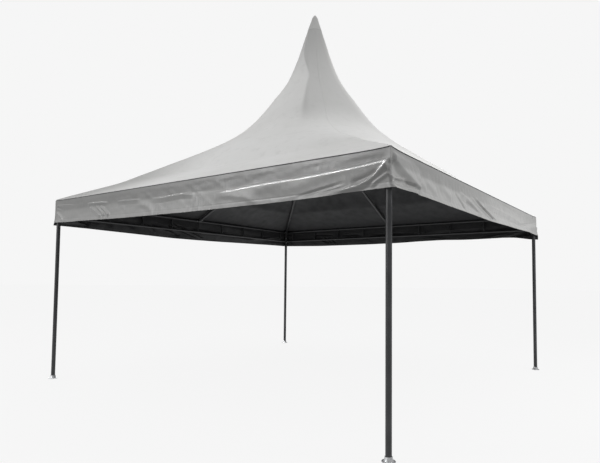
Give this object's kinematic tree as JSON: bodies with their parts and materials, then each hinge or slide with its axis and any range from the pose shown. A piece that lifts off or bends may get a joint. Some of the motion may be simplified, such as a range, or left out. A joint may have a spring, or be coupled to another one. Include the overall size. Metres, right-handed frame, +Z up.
{
  "type": "pagoda marquee tent",
  "caption": "Square free-standing marquee tent with a swept pagoda roof, straight valances and tubular steel legs, open on all sides.",
  "frame": {"origin": "on the ground at the centre of the square plan, midway between the four legs", "axes": "+Z up; -Y is the front; +X is to the right seen from the front"},
  "size_m": [5.108, 5.108, 5.35],
  "materials": {
    "roof_canvas": "coated polyester, satin, light grey",
    "valance_canvas": "coated polyester, satin, light grey",
    "frame_paint": "dark grey powder coat, satin",
    "joint_paint": "dark grey powder coat over welded joints",
    "zinc": "hot-dip galvanised, dull"
  },
  "bodies": {
    "root": {"corner_joint_back_left": "joint_paint", "corner_joint_back_right": "joint_paint", "corner_joint_front_left": "joint_paint", "corner_joint_front_right": "joint_paint", "crown": "roof_canvas", "foot_plate_back_left": "zinc", "foot_plate_back_right": "zinc", "foot_plate_front_left": "zinc", "foot_plate_front_right": "zinc", "hip_rafter_back_left": "frame_paint", "hip_rafter_back_right": "frame_paint", "hip_rafter_front_left": "frame_paint", "hip_rafter_front_right": "frame_paint", "hub": "joint_paint", "leg_back_left": "frame_paint", "leg_back_right": "frame_paint", "leg_front_left": "frame_paint", "leg_front_right": "frame_paint", "mast": "frame_paint", "mast_plate": "zinc", "mid_rafter_back": "frame_paint", "mid_rafter_front": "frame_paint", "mid_rafter_left": "frame_paint", "mid_rafter_right": "frame_paint", "roof_panel_back": "roof_canvas", "roof_panel_front": "roof_canvas", "roof_panel_left": "roof_canvas", "roof_panel_right": "roof_canvas", "saddle_back": "joint_paint", "saddle_front": "joint_paint", "saddle_left": "joint_paint", "saddle_right": "joint_paint", "truss_back": "frame_paint", "truss_front": "frame_paint", "truss_left": "frame_paint", "truss_right": "frame_paint", "valance_back": "valance_canvas", "valance_front": "valance_canvas", "valance_left": "valance_canvas", "valance_right": "valance_canvas"}
  },
  "joints": []
}
